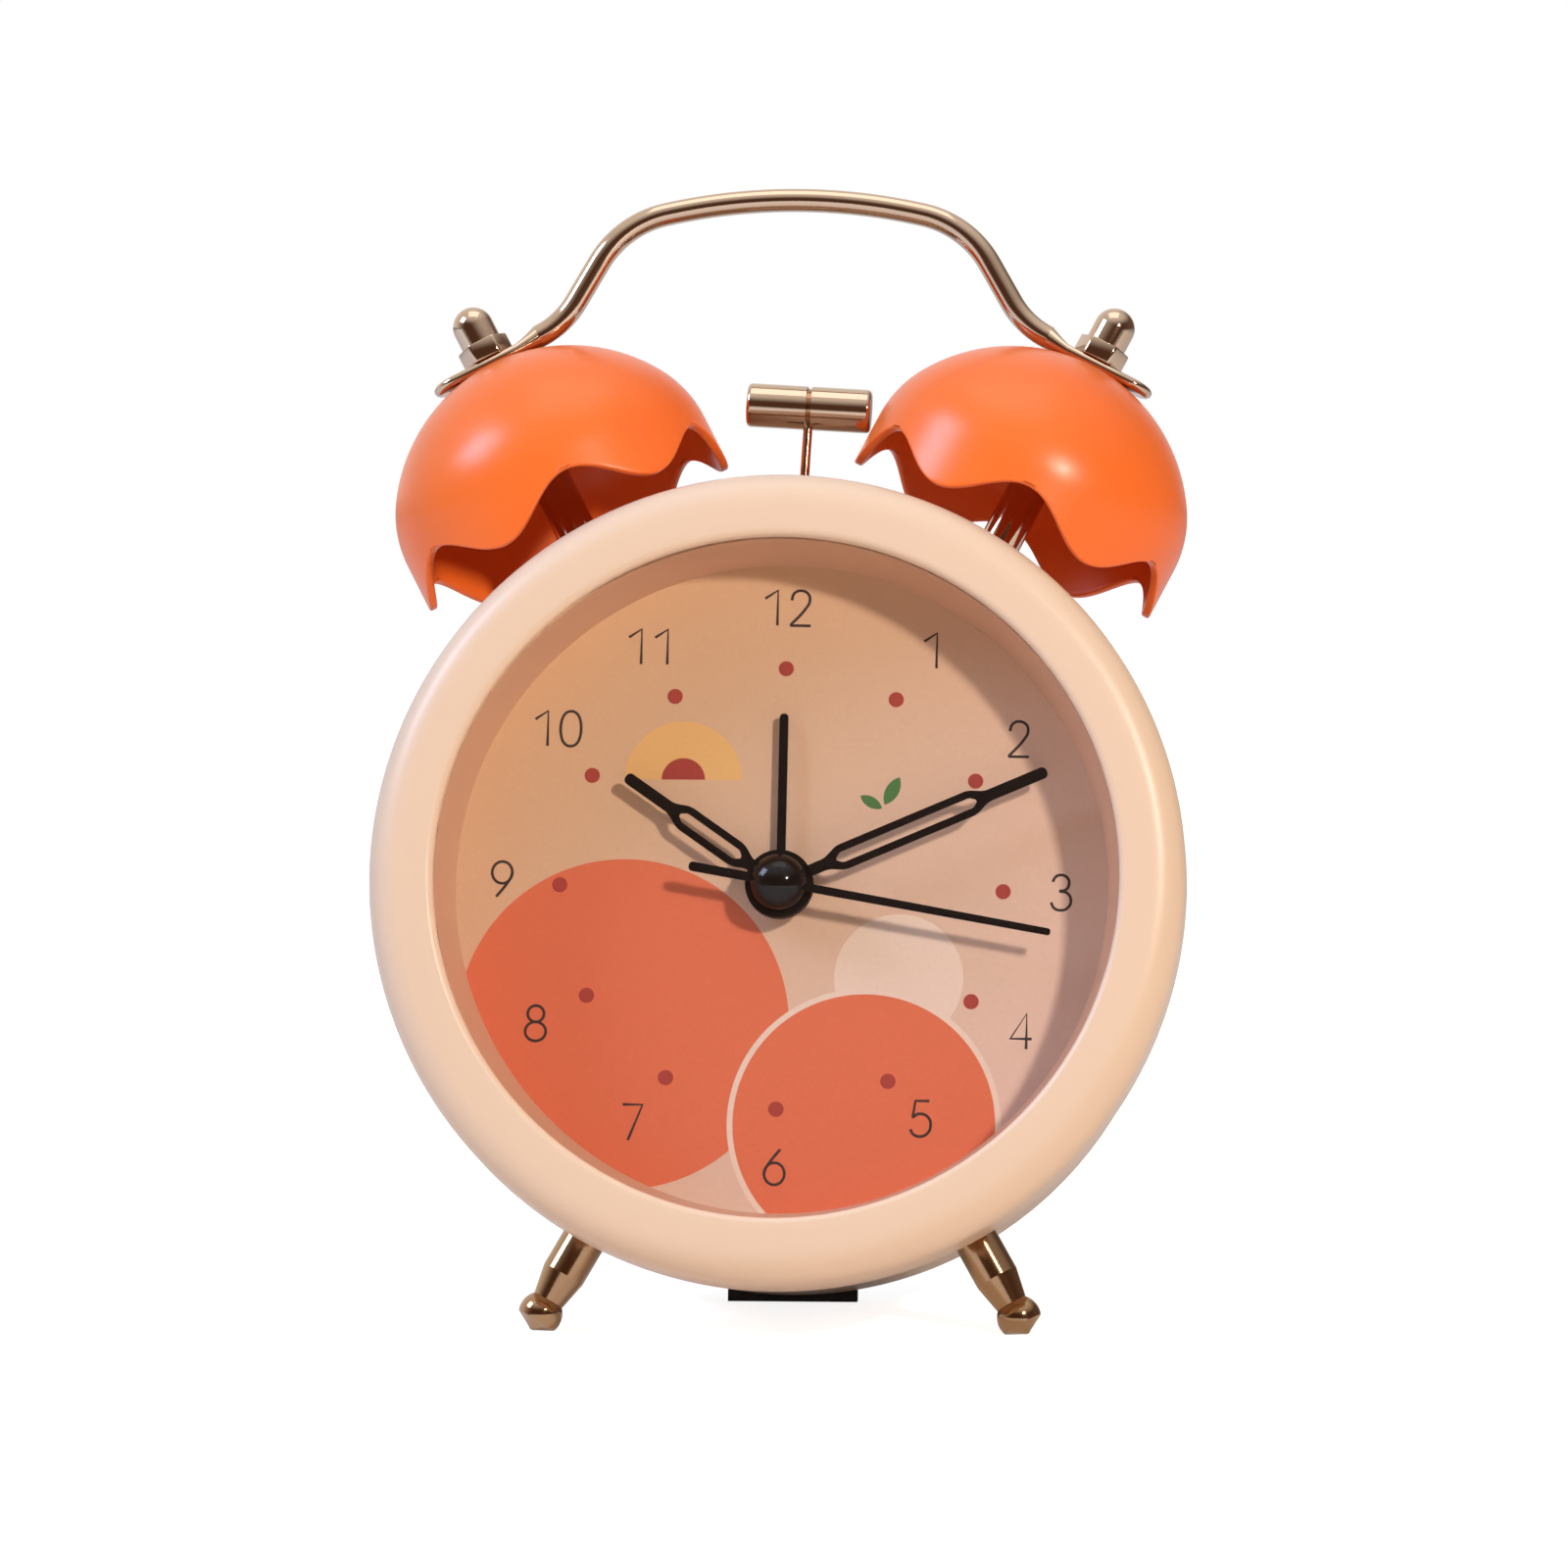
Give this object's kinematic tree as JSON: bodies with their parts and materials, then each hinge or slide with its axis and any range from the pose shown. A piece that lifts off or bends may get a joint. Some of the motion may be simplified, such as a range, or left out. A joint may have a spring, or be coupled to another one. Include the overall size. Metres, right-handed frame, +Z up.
{
  "type": "twin-bell alarm clock",
  "caption": "Round desk clock with wavy-rimmed bells, a swinging hammer, a wire handle, turned legs, framed hands and a geared movement.",
  "frame": {"origin": "middle of the clock's footprint on the table, with the lowest points at z = 0", "axes": "+Z up, +Y from the dial to the back cover, +X to the right of someone who faces the dial"},
  "size_m": [0.0855, 0.0598, 0.12],
  "materials": {
    "peach_paint": "satin",
    "orange_paint": "gloss",
    "lens_glass": "clear",
    "dial_print": "matte",
    "dial_ring_plastic": "matte",
    "chrome_plate": "polished",
    "plated_steel": "plated",
    "black_hand": "gloss",
    "black_plastic": "matte",
    "white_gear": "satin",
    "movement_plastic": "matte",
    "brass": "machined",
    "copper_winding": "enamelled",
    "board_green": "satin",
    "cell_jacket": "gloss"
  },
  "bodies": {
    "clock_body": {"back_cover": "black_plastic", "battery_cell": "cell_jacket", "battery_contact_plus": "plated_steel", "battery_contact_spring": "plated_steel", "bell_left": "orange_paint", "bell_post_left": "chrome_plate", "bell_post_right": "chrome_plate", "bell_right": "orange_paint", "cap_nut_left": "chrome_plate", "cap_nut_right": "chrome_plate", "case_body": "peach_paint", "circuit_board": "board_green", "cover_screws": "plated_steel", "crank_axle": "plated_steel", "dial": "dial_print", "dial_ring": "dial_ring_plastic", "drive_coil": "copper_winding", "front_bezel": "peach_paint", "front_lens": "lens_glass", "hammer_pivot_pin": "plated_steel", "handle": "chrome_plate", "leg_left": "chrome_plate", "leg_nuts": "plated_steel", "leg_right": "chrome_plate", "movement_cover": "movement_plastic", "movement_plate": "movement_plastic", "post_nuts": "plated_steel", "quartz_crystal": "plated_steel", "stator": "plated_steel", "striker_frame": "plated_steel", "striker_motor": "plated_steel", "train_bridge": "movement_plastic"},
    "battery_door_body": {"battery_door": "black_plastic"},
    "minute_body": {"cannon_pinion": "brass", "minute_hand": "black_hand"},
    "motion_body": {"minute_wheel": "white_gear", "time_set_knob": "black_plastic"},
    "hour_body": {"hour_wheel": "white_gear", "hour_hand": "black_hand"},
    "second_body": {"second_wheel": "white_gear", "second_hand": "black_hand", "hand_cap": "black_hand"},
    "third_wheel_body": {"third_wheel": "white_gear"},
    "center_wheel_body": {"center_wheel": "white_gear"},
    "intermediate_wheel_body": {"intermediate_wheel": "white_gear"},
    "rotor_body": {"rotor": "white_gear"},
    "alarm_body": {"alarm_wheel": "white_gear", "alarm_hand": "black_hand"},
    "alarm_set_body": {"alarm_arbor": "white_gear", "alarm_set_knob": "black_plastic"},
    "hammer_body": {"hammer_head": "chrome_plate", "hammer_arm": "chrome_plate", "hammer_lever": "plated_steel"},
    "crank_body": {"crank_gear": "white_gear"},
    "motor_pinion_body": {"motor_pinion": "brass"},
    "alarm_switch_body": {"alarm_switch": "black_plastic"}
  },
  "joints": [
    {"name": "minute_hand_spin", "type": "hinge", "parent": "clock_body", "child": "minute_body", "pos_m": [0, -0.01359, 0.04758], "axis": [0, 0.9754, -0.2203], "continuous": true},
    {"name": "time_set_knob_spin", "type": "hinge", "parent": "clock_body", "child": "motion_body", "pos_m": [-0.01063, 0.0208, 0.03689], "axis": [0, 0.9754, -0.2203], "continuous": true},
    {"name": "hour_hand_spin", "type": "hinge", "parent": "clock_body", "child": "hour_body", "pos_m": [0, -0.01242, 0.04731], "axis": [0, 0.9754, -0.2203], "continuous": true},
    {"name": "second_hand_spin", "type": "hinge", "parent": "clock_body", "child": "second_body", "pos_m": [0, -0.01477, 0.04784], "axis": [0, 0.9754, -0.2203], "continuous": true},
    {"name": "third_wheel_spin", "type": "hinge", "parent": "clock_body", "child": "third_wheel_body", "pos_m": [0, -0.00453, 0.03507], "axis": [0, 0.9754, -0.2203], "continuous": true},
    {"name": "center_wheel_spin", "type": "hinge", "parent": "clock_body", "child": "center_wheel_body", "pos_m": [0, -0.00404, 0.04542], "axis": [0, 0.9754, -0.2203], "continuous": true},
    {"name": "intermediate_wheel_spin", "type": "hinge", "parent": "clock_body", "child": "intermediate_wheel_body", "pos_m": [0.0036, 0.00104, 0.05067], "axis": [0, 0.9754, -0.2203], "continuous": true},
    {"name": "rotor_spin", "type": "hinge", "parent": "clock_body", "child": "rotor_body", "pos_m": [0.00952, 0.00152, 0.05277], "axis": [0, 0.9754, -0.2203], "continuous": true},
    {"name": "alarm_hand_spin", "type": "hinge", "parent": "clock_body", "child": "alarm_body", "pos_m": [0, -0.01125, 0.04705], "axis": [0, 0.9754, -0.2203], "continuous": true},
    {"name": "alarm_set_knob_spin", "type": "hinge", "parent": "clock_body", "child": "alarm_set_body", "pos_m": [0.01449, 0.02057, 0.03588], "axis": [0, 0.9754, -0.2203], "continuous": true},
    {"name": "hammer_swing", "type": "hinge", "parent": "clock_body", "child": "hammer_body", "pos_m": [0, 0.00281, 0.06438], "axis": [0, 0.9754, -0.2203], "range_deg": [-6.9, 0.5]},
    {"name": "crank_spin", "type": "hinge", "parent": "clock_body", "child": "crank_body", "pos_m": [0, 0.00579, 0.05489], "axis": [0, 0.9754, -0.2203], "range_deg": [-8, 86]},
    {"name": "motor_pinion_spin", "type": "hinge", "parent": "clock_body", "child": "motor_pinion_body", "pos_m": [0.0085, 0.00579, 0.05489], "axis": [0, 0.9754, -0.2203], "range_deg": [-156, 14]},
    {"name": "alarm_switch_slide", "type": "slide", "parent": "clock_body", "child": "alarm_switch_body", "axis": [1, 0, 0], "range_m": [0, 0.0035]},
    {"name": "battery_door_slide", "type": "slide", "parent": "clock_body", "child": "battery_door_body", "axis": [0, 0.9754, -0.2203], "range_m": [0, 0.02]}
  ],
  "couplings": [
    {"joint": "time_set_knob_spin", "follows": "minute_hand_spin", "ratio": -0.33333},
    {"joint": "hour_hand_spin", "follows": "minute_hand_spin", "ratio": 0.083333},
    {"joint": "third_wheel_spin", "follows": "second_hand_spin", "ratio": -0.13333},
    {"joint": "center_wheel_spin", "follows": "second_hand_spin", "ratio": 0.016667},
    {"joint": "intermediate_wheel_spin", "follows": "second_hand_spin", "ratio": -5},
    {"joint": "rotor_spin", "follows": "second_hand_spin", "ratio": 30},
    {"joint": "alarm_set_knob_spin", "follows": "alarm_hand_spin", "ratio": -1.5},
    {"joint": "crank_spin", "follows": "hammer_swing", "ratio": -12},
    {"joint": "motor_pinion_spin", "follows": "hammer_swing", "ratio": 22}
  ]
}
